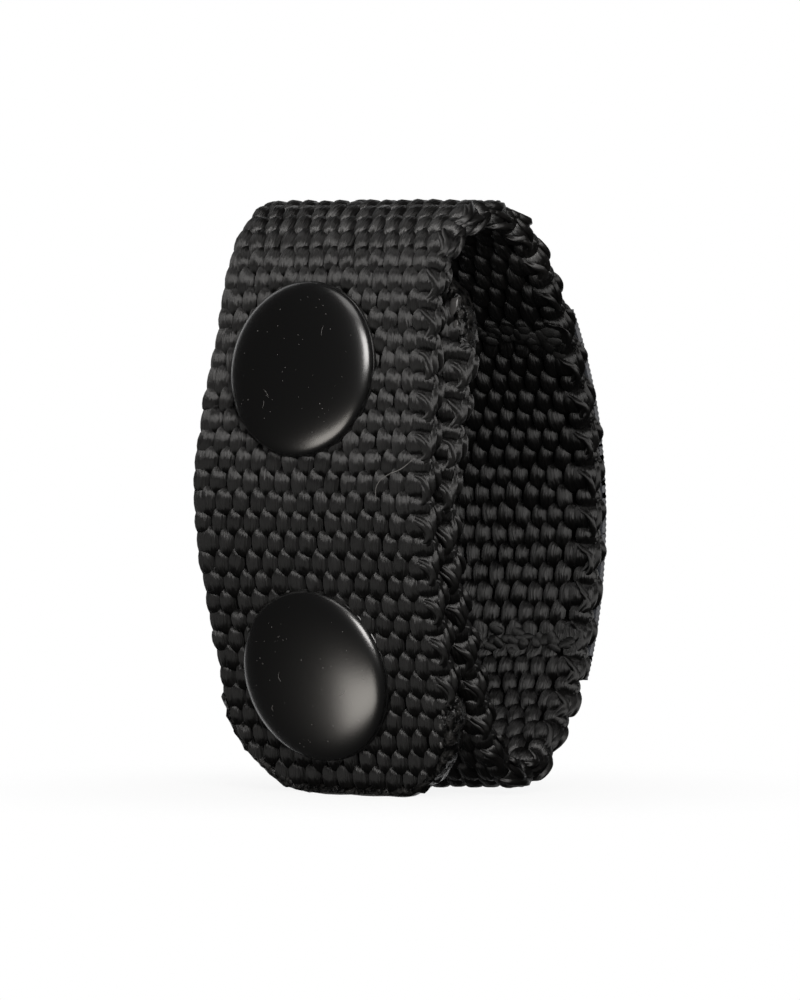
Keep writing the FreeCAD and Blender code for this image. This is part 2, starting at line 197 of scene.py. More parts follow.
def onStrip(across, along, outward):
    # the top bend draws the webbing narrower, the outer flap's right side bows out less and
    # its end is cut a little askew, and the bottom bend's right side stands a little off the floor
    y, z, heading = pathAt(along + strip["skew"] * across * eased(along, *strip["skewSpan"]))
    narrowing = strip["narrowing"] * between(along, *strip["narrowingSpans"])
    bow = between(along, *strip["twistSpans"]) + eased(along, *strip["tipTwistSpan"])
    y -= strip["twist"] * bow * across / strip["width"] * 2
    lift = between(along, *strip["liftSpans"]) * eased(across, *strip["liftAcross"])
    z += strip["bendLift"] * lift
    return Vector((across * (1 - narrowing), y + outward * math.sin(heading),
                   z - outward * math.cos(heading)))


def wrapOnStrip(obj):
    # a flat piece, with X across, Y along and Z outward, is laid round the loop, pressed flat
    # where it stands, and turned into metres
    for vertex in obj.data.vertices:
        place = onStrip(*vertex.co)
        place.z = max(place.z, strip["lowest"])
        vertex.co = place * mm
    obj.data.update()
    return obj


def rowAt(number):
    return strip["firstRow"] + number * strip["rowPitch"]


def heightOnFlap(height):
    # how far along the strip the outer flap's middle line comes down to a height
    near, far = rowAt(strip["shoulderRow"]), stripLength
    while far - near > 1e-6:
        middle = (near + far) / 2
        if pathAt(middle)[1] > height:
            near = middle
        else:
            far = middle
    return near


# Each snap: its height on the outer flap, how far its axis tips up, and its place as a frame
# whose -Y points out of the cap.
snapAcross = -1.3
snaps = {
    "upper": {"height": 37.5, "tilt": 7.5},
    "lower": {"height": 10.9, "tilt": -12.0},
}
innerFlapDepth = 3.85     # from the outer flap's middle to the inner flap's
innerFlapTenths = range(470)    # the inner flap's length, in tenths of a millimetre
for snap in snaps.values():
    snap["along"] = heightOnFlap(snap["height"])
    y, z, _ = pathAt(snap["along"])
    tip = math.radians(snap["tilt"])
    snap["place"] = Matrix.Translation((snapAcross, y, z)) @ Matrix.Rotation(-tip, 4, "X")
    behind = snap["place"] @ Vector((0, innerFlapDepth, 0))
    snap["alongInner"] = min((abs(pathAt(tenth / 10)[1] - behind.z), tenth / 10)
                             for tenth in innerFlapTenths)[1]
    print("snap along the strip:", round(snap["along"], 2), round(snap["alongInner"], 2))

# The two rows of thread that hold the label, and the strip's length that the label covers
stitching = {"rows": (66.2, 95.1), "pitch": 1.85, "length": 1.45, "radius": 0.2,
             "slant": 4, "jitter": (0.06, 0.05), "proud": 0.02}
labelRange = (63.3, 96.4)


# Materials, which read Object coordinates or a piece's own yarn map

def newMaterial(name):
    material = bpy.data.materials.new(name)
    material.use_nodes = True
    return material, material.node_tree.nodes, material.node_tree.links


def principled(nodes, **values):
    shader = nodes["Principled BSDF"]
    for name, value in values.items():
        shader.inputs[name.replace("_", " ")].default_value = value
    return shader


def addNode(nodes, kind, inputs=None, **properties):
    node = nodes.new(kind)
    for name, value in properties.items():
        setattr(node, name, value)
    for name, value in (inputs or {}).items():
        node.inputs[name].default_value = value
    return node


def ramp(nodes, stops):
    node = nodes.new("ShaderNodeValToRGB")
    elements = node.color_ramp.elements
    while len(elements) < len(stops):
        elements.new(0.5)
    for element, (position, color) in zip(elements, stops):
        element.position = position
        element.color = (*color, 1)
    return node


# Filament cloth: a pattern that runs along each yarn, from the piece's own yarn map
def filamentMaterial(name, dark, light, roughness, filaments, depth, ior):
    material, nodes, links = newMaterial(name)
    shader = principled(nodes, Roughness=roughness, IOR=ior, Specular_IOR_Level=1.0,
                        Anisotropic=1.0)
    around = addNode(nodes, "ShaderNodeTangent", direction_type="UV_MAP", uv_map="yarn")
    links.new(around.outputs["Tangent"], shader.inputs["Tangent"])
    yarn = addNode(nodes, "ShaderNodeUVMap", uv_map="yarn")
    stretch = addNode(nodes, "ShaderNodeMapping")
    stretch.inputs["Scale"].default_value = (filaments, 0.5, 1)
    links.new(yarn.outputs["UV"], stretch.inputs["Vector"])
    strands = addNode(nodes, "ShaderNodeTexNoise", {"Scale": 1.0, "Detail": 2.0, "Roughness": 0.5})
    links.new(stretch.outputs["Vector"], strands.inputs["Vector"])
    place = addNode(nodes, "ShaderNodeTexCoord")
    patches = addNode(nodes, "ShaderNodeTexNoise", {"Scale": 900.0, "Detail": 2.0})
    links.new(place.outputs["Object"], patches.inputs["Vector"])
    mixed = addNode(nodes, "ShaderNodeMath", operation="MULTIPLY")
    links.new(strands.outputs["Fac"], mixed.inputs[0])
    links.new(patches.outputs["Fac"], mixed.inputs[1])
    colors = ramp(nodes, [(0.12, dark), (0.45, light)])
    links.new(mixed.outputs["Value"], colors.inputs["Fac"])
    links.new(colors.outputs["Color"], shader.inputs["Base Color"])
    bump = addNode(nodes, "ShaderNodeBump", {"Strength": 0.9, "Distance": depth})
    links.new(strands.outputs["Fac"], bump.inputs["Height"])
    links.new(bump.outputs["Normal"], shader.inputs["Normal"])
    return material


nylon = filamentMaterial("webbing_nylon", dark=(0.0025, 0.0023, 0.0022),
                         light=(0.01, 0.0096, 0.0093), roughness=0.5, filaments=20.0,
                         depth=0.0003, ior=1.56)
# painted shade: the core slab shows only in the gaps between beads, so it is made darker and less
# glossy than the beads' own nylon
coreNylonPaintedShade = filamentMaterial("webbing_inside", dark=(0.001, 0.001, 0.001),
                             light=(0.003, 0.003, 0.003), roughness=0.9, filaments=22.0,
                             depth=0.00005, ior=1.1)
weftNylon = filamentMaterial("weft_nylon", dark=(0.004, 0.0038, 0.0036),
                             light=(0.01, 0.0096, 0.0093), roughness=0.55, filaments=8.0,
                             depth=0.00015, ior=1.55)
crushedNylon = filamentMaterial("crushed_thread", dark=(0.004, 0.004, 0.004),
                                light=(0.009, 0.009, 0.009), roughness=0.8, filaments=6.0,
                                depth=0.00005, ior=1.3)
threadNylon = filamentMaterial("label_thread", dark=(0.004, 0.004, 0.004),
                               light=(0.012, 0.012, 0.0125), roughness=0.6, filaments=9.0,
                               depth=0.00003, ior=1.5)
labelCloth = filamentMaterial("label_cloth", dark=(0.05, 0.053, 0.06), light=(0.1, 0.106, 0.12),
                              roughness=0.6, filaments=8.0, depth=0.00002, ior=1.6)


def enamelMaterial():
    material, nodes, links = newMaterial("cap_enamel_black")
    shader = principled(nodes, Roughness=0.27, IOR=1.72, Specular_IOR_Level=1.0)
    shader.inputs["Base Color"].default_value = (0.005, 0.005, 0.005, 1)
    place = addNode(nodes, "ShaderNodeTexCoord")
    grain = addNode(nodes, "ShaderNodeTexNoise", {"Scale": 9000.0, "Detail": 2.0})
    links.new(place.outputs["Object"], grain.inputs["Vector"])
    bump = addNode(nodes, "ShaderNodeBump", {"Strength": 0.12, "Distance": 0.00003})
    links.new(grain.outputs["Fac"], bump.inputs["Height"])
    links.new(bump.outputs["Normal"], shader.inputs["Normal"])
    return material


enamel = enamelMaterial()


def metalMaterial(name, color, roughness, metallic):
    material, nodes, links = newMaterial(name)
    shader = principled(nodes, Metallic=metallic)
    place = addNode(nodes, "ShaderNodeTexCoord")
    wear = addNode(nodes, "ShaderNodeTexNoise", {"Scale": 1500.0, "Detail": 4.0})
    links.new(place.outputs["Object"], wear.inputs["Vector"])
    tones = ramp(nodes, [(0.3, color), (0.75, tuple(c * 1.8 for c in color))])
    links.new(wear.outputs["Fac"], tones.inputs["Fac"])
    links.new(tones.outputs["Color"], shader.inputs["Base Color"])
    rough = addNode(nodes, "ShaderNodeMapRange",
                    {"To Min": roughness * 0.8, "To Max": roughness * 1.25})
    links.new(wear.outputs["Fac"], rough.inputs["Value"])
    links.new(rough.outputs["Result"], shader.inputs["Roughness"])
    return material


blackMetal = metalMaterial("snap_black_oxide", color=(0.02, 0.02, 0.021), roughness=0.35,
                           metallic=0.6)
springSteel = metalMaterial("spring_wire", color=(0.35, 0.33, 0.29), roughness=0.3, metallic=1.0)


def meltedMaterial():
    material, nodes, links = newMaterial("melted_nylon")
    shader = principled(nodes, Roughness=0.3)
    place = addNode(nodes, "ShaderNodeTexCoord")
    lumps = addNode(nodes, "ShaderNodeTexNoise", {"Scale": 1500.0, "Detail": 3.0})
    links.new(place.outputs["Object"], lumps.inputs["Vector"])
    tones = ramp(nodes, [(0.45, (0.003, 0.003, 0.003)), (0.7, (0.04, 0.038, 0.036))])
    links.new(lumps.outputs["Fac"], tones.inputs["Fac"])
    links.new(tones.outputs["Color"], shader.inputs["Base Color"])
    rough = addNode(nodes, "ShaderNodeMapRange",
                    {"From Min": 0.35, "From Max": 0.65, "To Min": 0.2, "To Max": 0.5})
    links.new(lumps.outputs["Fac"], rough.inputs["Value"])
    links.new(rough.outputs["Result"], shader.inputs["Roughness"])
    bump = addNode(nodes, "ShaderNodeBump", {"Strength": 1.0, "Distance": 0.0005})
    links.new(lumps.outputs["Fac"], bump.inputs["Height"])
    links.new(bump.outputs["Normal"], shader.inputs["Normal"])
    return material


meltedNylon = meltedMaterial()


def dropMaterial():
    material, nodes, _ = newMaterial("molten_drop")
    shader = principled(nodes, Roughness=0.24, IOR=1.6)
    # painted highlight: the drops are coloured a lighter grey than the black nylon so that they
    # read as the bright glossy knobs of the melted edge
    shader.inputs["Base Color"].default_value = (0.09, 0.088, 0.086, 1)
    return material


moltenDropPaintedHighlight = dropMaterial()


def lintMaterial():
    material, nodes, _ = newMaterial("lint")
    shader = principled(nodes, Roughness=0.8)
    shader.inputs["Base Color"].default_value = (0.17, 0.165, 0.16, 1)
    return material


lint = lintMaterial()


def withMaterial(obj, material):
    obj.data.materials.clear()
    obj.data.materials.append(material)
    return obj


for node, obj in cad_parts.items():
    if node.endswith("spring"):
        withMaterial(obj, springSteel)
    elif node.endswith("cap"):
        withMaterial(obj, enamel)
    elif "snap" in node:
        withMaterial(obj, blackMetal)
    else:
        withMaterial(obj, nylon)
print("materials made")


# The webbing's warp: each yarn shows as a bead where it rises over a row of weft
bead = {
    "cuts": 3,
    "roundness": 0.85,
    "squareness": 2.4,    # its cross-section is between a circle, 2, and a square
    "halfWidth": 0.87,
    "halfLength": 1.55,
    "height": 1.4,
    "buried": 0.05,       # how far up the bead is cut flat, inside the webbing
    "crest": 1.34,
    # beyond a share of its length, drawn in to a share of its width
    "tips": [(0.3, 0.94), (0.55, 0.74), (0.8, 0.6)],
    # each copy is moved, turned in degrees, and sized a little differently
    "jitter": 0.05,
    "tilt": 4.5,
    "sizeSpread": (0.05, 0.05, 0.035),
}
barrel = {"cuts": 4, "roundness": 0.92}
strand = {"endTaper": 0.45, "roundness": 1, "stepsPerSpan": 3}


def modelBead():
    unit = startPiece(bpy.ops.mesh.primitive_cube_add, size=2)
    bpy.ops.mesh.subdivide(number_cuts=bead["cuts"])
    bpy.ops.transform.tosphere(value=bead["roundness"])
    objectMode()
    squareOff(unit)
    reach = unit.dimensions.y / 2
    for share, squeeze in bead["tips"]:
        for vertex in unit.data.vertices:
            vertex.select = abs(vertex.co.y) > share * reach
        editMode()
        bpy.ops.transform.resize(value=(squeeze, 1, 1))
        objectMode()
    unit.data.transform(Matrix.Diagonal((bead["halfWidth"] / unit.dimensions.x * 2,
                                         bead["halfLength"] / unit.dimensions.y * 2,
                                         bead["height"] / unit.dimensions.z * 2, 1)))
    editMode()
    bpy.ops.mesh.select_all(action="SELECT")
    bpy.ops.mesh.bisect(plane_co=(0, 0, bead["buried"]), plane_no=(0, 0, 1), use_fill=True,
                        clear_inner=True)
    objectMode()
    unit.data.transform(Matrix.Translation((0, 0, bead["crest"] - bead["height"])))
    unit.name = "bead"
    mapYarn(unit)
    return unit


def squareOff(unit):
    # only the cross-section is made squarer, so that the yarn stays round along its length
    power = bead["squareness"]
    for vertex in unit.data.vertices:
        x, z = vertex.co.x, vertex.co.z
        away = math.hypot(x, z)
        if away > 1e-6:
            grow = (abs(x / away) ** power + abs(z / away) ** power) ** (-1 / power)
            vertex.co.x *= grow
            vertex.co.z *= grow


def modelBarrel(name, middle, halfSizes):
    # a full round bundle that wraps the webbing's side
    unit = startPiece(bpy.ops.mesh.primitive_cube_add, size=2)
    bpy.ops.mesh.subdivide(number_cuts=barrel["cuts"])
    bpy.ops.transform.tosphere(value=barrel["roundness"])
    objectMode()
    unit.data.transform(Matrix.Translation((middle, 0, 0)) @ Matrix.Diagonal(
        (*(size / side * 2 for size, side in zip(halfSizes, unit.dimensions)), 1)))
    unit.name = name
    mapYarn(unit, middle)
    return unit


def mapYarn(unit, middle=0.0):
    # u goes round the yarn and v along it, which is Y while the unit is flat
    while unit.data.uv_layers:
        unit.data.uv_layers.remove(unit.data.uv_layers[0])
    layer = unit.data.uv_layers.new(name="yarn")
    for loop in unit.data.loops:
        x, y, z = unit.data.vertices[loop.vertex_index].co
        layer.data[loop.index].uv = (math.atan2(x - middle, abs(z)) / math.pi, y)


def shiftYarnMap(obj, dice):
    # so that no two yarns share a pattern
    du, dv = dice.uniform(0, 40), dice.uniform(0, 40)
    for item in obj.data.uv_layers["yarn"].data:
        item.uv = (item.uv[0] + du, item.uv[1] + dv)


def strandAlong(points, radius):
    # one bundle of filaments, round and tapered, through places on the flat strip
    selectNone()
    bpy.ops.curve.primitive_bezier_curve_add()
    obj = bpy.context.active_object
    spline = obj.data.splines[0]
    spline.bezier_points.add(len(points) - 2)
    for point, place in zip(spline.bezier_points, points):
        point.co = place
        point.handle_left_type = point.handle_right_type = "AUTO"
        point.radius = 1.0
    spline.bezier_points[0].radius = spline.bezier_points[-1].radius = strand["endTaper"]
    obj.data.bevel_depth = radius
    obj.data.bevel_resolution = strand["roundness"]
    obj.data.resolution_u = strand["stepsPerSpan"]
    obj.data.use_fill_caps = True
    bpy.ops.object.convert(target="MESH")
    mapYarn(obj)
    return obj


def columnsOf(row):
    # every second row is shifted by about half a column
    first = strip["firstColumn"] - (row % 2) * strip["columnShift"] * strip["columnPitch"]
    return [first + number * strip["columnPitch"] for number in range(strip["columns"])]


# The strip's two rounded ends, each by the piece that has it: its place along the strip, the way
# in from it, its corners' radius, and how far inside the cut its melted rim runs
cutEnds = {
    "strap_inner_flap": {"at": 0.0, "inward": 1, "corner": 7.5, "rimInset": 0.6},
    "strap_outer_flap": {"at": stripLength, "inward": -1, "corner": 8.5, "rimInset": 0.15},
}


def endRadius(along):
    # how far a corner of the strip's rounded ends has drawn in from the side
    for end in cutEnds.values():
        depth = (along - end["at"]) * end["inward"]
        radius = end["corner"]
        if depth < radius:
            return radius - math.sqrt(max(0.0, radius ** 2 - (radius - max(depth, 0.0)) ** 2))
    return 0.0


def insideEnds(across, along):
    overhang = 0.7      # a bead may stand this far past the side
    limit = strip["width"] / 2 + overhang - endRadius(along)
    return 0 < along < stripLength and abs(across) < limit


def keepInside(obj):
    # what reaches past the strip's rounded ends is pressed back to the cut
    inset = strip["cutInset"]
    for vertex in obj.data.vertices:
        vertex.co.y = min(max(vertex.co.y, inset), stripLength - inset)
        drawnIn = endRadius(vertex.co.y)
        if drawnIn:
            limit = strip["width"] / 2 - inset - drawnIn
            vertex.co.x = min(max(vertex.co.x, -limit), limit)


# Where metal and thread pinch the webbing thin
pinched = {
    # under a snap: the radius and the level on the strip's outer face, and those on its inner one
    "outerFlap": (7.2, 1.15, 6.5, 0.75),
    "innerFlap": (5.4, 0.72, 5.1, 0.72),
    "slope": 0.5,
    # under a row of stitches
    "threadReach": 1.0,
    "threadLevel": 0.88,
    "threadSlope": 0.9,
}


def pinches():
    found = []
    for snap in snaps.values():
        found.append((snap["along"], *pinched["outerFlap"]))
        found.append((snap["alongInner"], *pinched["innerFlap"]))
    return found


def pinch(obj):
    for along, outerRadius, outerLevel, innerRadius, innerLevel in pinches():
        for vertex in obj.data.vertices:
            away = math.hypot(vertex.co.x - snapAcross, vertex.co.y - along)
            if vertex.co.z > 0:
                free = max(0.0, away - outerRadius) * pinched["slope"]
                vertex.co.z = min(vertex.co.z, outerLevel + free)
            else:
                free = max(0.0, away - innerRadius) * pinched["slope"]
                vertex.co.z = max(vertex.co.z, -innerLevel - free)
    for along in stitching["rows"]:
        for vertex in obj.data.vertices:
            if vertex.co.z < 0:
                past = max(0.0, abs(vertex.co.y - along) - pinched["threadReach"])
                free = past * pinched["threadSlope"]
                vertex.co.z = max(vertex.co.z, -pinched["threadLevel"] - free)


def roughen(obj):
    # rows and columns wander a little, by the same amount on neighbouring pieces
    for vertex in obj.data.vertices:
        shift = noise.noise_vector(vertex.co * strip["wavinessScale"]) * strip["waviness"]
        vertex.co += Vector((shift.x, shift.y, 0))


def beadField(unit, firstRow, lastRow, dice):
    # beads on both faces; a yarn that shows on one face is hidden on the other
    beads = []
    for row in range(firstRow, lastRow + 1):
        for side in (1, -1):
            for across in columnsOf(row if side > 0 else row + 1):
                along = rowAt(row)
                if not insideEnds(across, along):
                    continue
                jitter = bead["jitter"]
                place = Matrix.Translation((across + dice.gauss(0, jitter),
                                            along + dice.gauss(0, jitter), 0))
                place @= Matrix.Rotation(math.radians(dice.gauss(0, bead["tilt"])), 4, "Z")
                place @= Matrix.Diagonal((*(dice.gauss(1, spread)
                                            for spread in bead["sizeSpread"]), 1))
                if side < 0:
                    place @= Matrix.Rotation(math.pi, 4, "Y")
                beads.append(copyOf(unit, place))
                shiftYarnMap(beads[-1], dice)
    return beads


# The knitted side, towards +X: wide bundles, and between them looser strands that loop round
knit = {
    "wide": (11.55, (1.3, 1.36, 1.3)),
    "small": (11.75, (1.05, 1.1, 1.2)),
    "scallop": (-12.0, (1.1, 1.85, 1.2)),
    "jitter": 0.05,
    "stopsAt": 1.5,       # how far a rounded corner may have drawn in
    # each strand is a pair, drawn a few times over with small differences
    "variants": 5,
    "strandRadius": 0.33,
    "strandSizes": (0.75, 1.1),
    "strandJitter": (0.04, 0.12, 0.08),
    "pairOffset": 0.16,
    "pairTuck": 0.6,
    # strands of one pair of rows, as places round the side
    "strands": [
        [(11.7, -0.7, 1.15), (12.35, -0.2, 1.0), (12.75, 0.6, 0.8), (12.6, 1.3, 0.75),
         (12.0, 1.85, 0.95)],
        [(11.7, 0.7, -1.1), (12.35, 0.2, -1.0), (12.75, -0.6, -0.8), (12.6, -1.3, -0.75),
         (12.0, -1.85, -0.9)],
        [(12.45, 1.5, 0.35), (12.75, 0.6, 0.15), (12.75, -0.5, 0.0), (12.45, -1.4, -0.2)],
    ],
}


def knitVariants():
    jitterX, jitterY, jitterZ = knit["strandJitter"]
    variants = []
    for number in range(knit["variants"]):
        dice = random.Random(number)
        parts = []
        for path in knit["strands"]:
            for offset in (-knit["pairOffset"], knit["pairOffset"]):
                points = [(x - offset * knit["pairTuck"] + dice.gauss(0, jitterX),
                           y + offset + dice.gauss(0, jitterY),
                           z + dice.gauss(0, jitterZ)) for x, y, z in path]
                radius = knit["strandRadius"] * dice.uniform(*knit["strandSizes"])
                parts.append(strandAlong(points, radius))
        variants.append(joinAll(parts, "knit"))
    return variants


def selvageField(firstRow, lastRow, dice):
    parts = []
    for row in range(firstRow, lastRow + 1):
        along = rowAt(row)
        if endRadius(along) > knit["stopsAt"]:
            continue
        place = Matrix.Translation((dice.gauss(0, knit["jitter"]),
                                    along + dice.gauss(0, knit["jitter"]), 0))
        units = (wideUnit, dice.choice(knitUnits)) if row % 2 else (scallopUnit, smallUnit)
        for unit in units:
            parts.append(copyOf(unit, place))
            shiftYarnMap(parts[-1], dice)
    return parts


# The webbing's inside, a slab under the beads, coloured darker and duller than the beads' nylon as
# painted shade in the gaps between them
core = {"halfWidth": 11.7, "halfThickness": 0.62, "step": 0.9, "overlap": 0.25, "endGap": 0.5,
        "bevel": 0.8}


def modelCore(start, end):
    length = end - start
    slab = startPiece(bpy.ops.mesh.primitive_cube_add, size=1,
                      location=(0, (start + end) / 2, 0))
    bpy.ops.transform.resize(value=(2 * core["halfWidth"], length, 2 * core["halfThickness"]))
    bpy.ops.mesh.select_all(action="DESELECT")
    objectMode()
    slab.data.transform(slab.matrix_world)
    slab.matrix_world = Matrix.Identity(4)
    for edge in slab.data.edges:
        a, b = (slab.data.vertices[v].co for v in edge.vertices)
        edge.select = abs(a.y - b.y) > length / 2
    editMode()
    bpy.ops.mesh.bevel(offset=core["bevel"], segments=3)
    bpy.ops.mesh.select_all(action="SELECT")
    for number in range(1, int(length / core["step"])):
        along = start + number * core["step"]
        bpy.ops.mesh.bisect(plane_co=(0, along, 0), plane_no=(0, 1, 0))
        bpy.ops.mesh.select_all(action="SELECT")
    objectMode()
    mapYarn(slab)
    return slab


# The cut ends, melted into an uneven glossy rim
seal = {"radius": 0.6, "halfHeight": 1.3, "lumps": 0.34, "grain": 1.1, "tail": 0.9}


def sealedRim(end):
    run = end["corner"] - end["rimInset"]
    middle = strip["width"] / 2 - end["corner"]
    corner = [(middle + run, end["at"] + end["inward"] * (end["corner"] + seal["tail"]))]
    for degrees in range(0, 91, 15):
        turn = math.radians(degrees)
        corner.append((middle + run * math.cos(turn),
                       end["at"] + end["inward"] * (end["corner"] - run * math.sin(turn))))
    points = [(-x, y, 0) for x, y in corner] + [(x, y, 0) for x, y in reversed(corner)]
    rim = strandAlong(points, seal["radius"])
    for vertex in rim.data.vertices:
        vertex.co.z *= seal["halfHeight"] / seal["radius"]
    editMode()
    bpy.ops.mesh.select_all(action="SELECT")
    bpy.ops.mesh.subdivide(number_cuts=1, smoothness=0.3)
    objectMode()
    for vertex in rim.data.vertices:
        vertex.co += noise.noise_vector(vertex.co * seal["grain"]) * seal["lumps"]
    return withMaterial(rim, meltedNylon)


# Smooth drops in the melted edge: across, along, level, and half sizes
drops = {
    "strap_inner_flap": [
        (11.0, 4.2, 1.05, (0.5, 0.95, 0.4)),
        (11.5, 5.9, 1.1, (0.3, 0.5, 0.25)),
        (10.6, 2.9, 1.0, (0.3, 0.4, 0.25)),
    ],
    "strap_outer_flap": [
        (11.6, 160.3, 1.1, (0.28, 0.45, 0.25)),
        (11.2, 162.0, 1.1, (0.2, 0.3, 0.2)),
        (12.0, 158.9, 1.0, (0.2, 0.35, 0.2)),
    ],
}
dropSurface = {"lumps": 0.25, "grain": 1.3, "unrest": 0.2}


def moltenDropAt(across, along, level, halfSizes, dice):
    drop = startPiece(bpy.ops.mesh.primitive_ico_sphere_add, subdivisions=3, radius=1)
    objectMode()
    for vertex in drop.data.vertices:
        shift = Vector((dice.uniform(0, dropSurface["unrest"]), along, 0))
        swell = noise.noise(vertex.co * dropSurface["grain"] + shift)
        vertex.co *= 1 + dropSurface["lumps"] * swell
    drop.data.transform(Matrix.Translation((across, along, level))
                        @ Matrix.Diagonal((*halfSizes, 1)))
    mapYarn(drop)
    return withMaterial(drop, moltenDropPaintedHighlight)


beadUnit = modelBead()
wideUnit = modelBarrel("wide_bead", *knit["wide"])
smallUnit = modelBarrel("small_bead", *knit["small"])
scallopUnit = modelBarrel("scallop", *knit["scallop"])
knitUnits = knitVariants()
for unit in (beadUnit, wideUnit, smallUnit, scallopUnit):
    withMaterial(unit, nylon)
for unit in knitUnits:
    withMaterial(unit, weftNylon)
print("weave units made")

# The strip's pieces: rows of weave, the bodies on either side of its joint and where along the
# strip
#  that joint is, and the solids that it replaces
strapPieces = [
    ("strap_inner_flap", 0, 30, "inner", "back", 47.9, ["inner_flap"]),
    ("strap_rear_wall", 31, 55, "back", "bend_rear", 97.0, ["bottom_bend", "rear_wall"]),
    ("strap_bend_rear", 56, 60, "bend_rear", "bend_crown", 104.7, ["top_bend_rear"]),
    ("strap_bend_crown", 61, 64, "bend_crown", "bend_front", 113.65, ["top_bend_crown"]),
    ("strap_shoulder", 65, 72, "bend_front", "upper_flap", 120.45,
     ["top_bend_front", "outer_flap_upper"]),
    ("strap_outer_flap", 73, 92, "upper_flap", "lower_flap", 140.75, ["outer_flap_lower"]),
]
blendReach = 2.2    # to both sides of a joint
for name, firstRow, lastRow, bodyA, bodyB, joint, replaced in strapPieces:
    dice = random.Random(name)
    start = max(rowAt(firstRow - 0.5) - core["overlap"], core["endGap"])
    end = min(rowAt(lastRow + 0.5) + core["overlap"], stripLength - core["endGap"])
    parts = [withMaterial(modelCore(start, end), coreNylonPaintedShade)]
    parts += beadField(beadUnit, firstRow, lastRow, dice)
    parts += selvageField(firstRow, lastRow, dice)
    piece = joinAll(parts, name)
    roughen(piece)
    keepInside(piece)
    if name in cutEnds:
        piece = joinAll([piece, sealedRim(cutEnds[name])], name)
        piece = joinAll([piece, *(moltenDropAt(*drop, dice) for drop in drops[name])], name)
    pinch(piece)
    wrapOnStrip(piece)
    smoothed(piece, 80)
    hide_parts(*replaced)
    onStrip(0, joint - blendReach, 0) * mm
    onStrip(0, joint + blendReach, 0) * mm
    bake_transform(piece)
    print(name, len(piece.data.polygons), "faces")
removeAll(beadUnit, wideUnit, smallUnit, scallopUnit, *knitUnits)


# Caps: a domed shell with a soft shoulder and a rolled edge
cap = {
    "radius": 7.85,
    "seat": 1.1,
    "segments": 96,
    # the rolled edge: how far out along the axis, and how far from it
    "edge": [(1.2, 7.8), (1.3, 7.85), (1.42, 7.83), (1.5, 7.76)],
    # the dome, half of an ellipse
    "domeFoot": 1.62,
    "domeRadius": 7.76,
    "domeRise": 1.78,
    "domeSteps": 16,
    # inside the shell
    "wall": 0.3,
    "hollowShare": 0.955,
    "bore": 6.3,
    "footInset": 0.15,
    "lip": [(0.25, 6.9), (0.25, 6.35)],
}


def turnProfile(name, profile, segments):
    # a closed outline of (out, away) pairs, turned about the snap's axis, which is Y
    mesh = bpy.data.meshes.new(name)
    points = [(0, -out, away) for out, away in profile]
    edges = [(n, n + 1) for n in range(len(points) - 1)]
    mesh.from_pydata(points, edges, [])
    obj = bpy.data.objects.new(name, mesh)
    bpy.context.scene.collection.objects.link(obj)
    selectOnly(obj)
    editMode()
    bpy.ops.mesh.select_all(action="SELECT")
    bpy.ops.mesh.spin(steps=segments, angle=2 * math.pi, center=(0, 0, 0), axis=(0, 1, 0))
    bpy.ops.mesh.select_all(action="SELECT")
    bpy.ops.mesh.remove_doubles(threshold=1e-4)
    bpy.ops.mesh.normals_make_consistent(inside=False)
    objectMode()
    return obj


def capProfile():
    angles = [math.pi / 2 * step / cap["domeSteps"] for step in range(cap["domeSteps"] + 1)]
    dome = [(cap["domeFoot"] + cap["domeRise"] * math.sin(angle),
             cap["domeRadius"] * math.cos(angle)) for angle in angles]
    points = [(cap["seat"], cap["bore"]), (cap["seat"], cap["radius"] - cap["footInset"])]
    points += cap["edge"] + dome
    # back down inside the shell
    points += [(out - cap["wall"], away * cap["hollowShare"]) for out, away in reversed(dome[2:])]
    points += [(cap["seat"] + rise, away) for rise, away in cap["lip"]]
    points.append(points[0])
    return points


for which, snap in snaps.items():
    piece = turnProfile(which + "_cap_shell", capProfile(), cap["segments"])
    piece.data.transform(Matrix.Scale(mm, 4) @ snap["place"])
    smoothed(piece, 40)
    withMaterial(piece, enamel)
    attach(piece, which + "_flap")
    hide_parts(which + "_snap_cap")
print("caps made")


# Dust on the caps: specks, and short fibres that lie on the dome
dust = {"specks": 46, "speckRadius": (0.018, 0.05), "speckReach": 6.6, "fibres": 3,
        "fibreRadius": 0.014, "fibreLength": (0.4, 1.1), "fibreBend": 0.6, "fibreReach": 5,
        "fibreSteps": 3}


def domeAt(across, up):
    # a place on the cap's dome, in the snap's frame
    away = math.hypot(across, up) / cap["domeRadius"]
    return Vector((across, -cap["domeFoot"] - cap["domeRise"] * math.sqrt(1 - away ** 2), up))


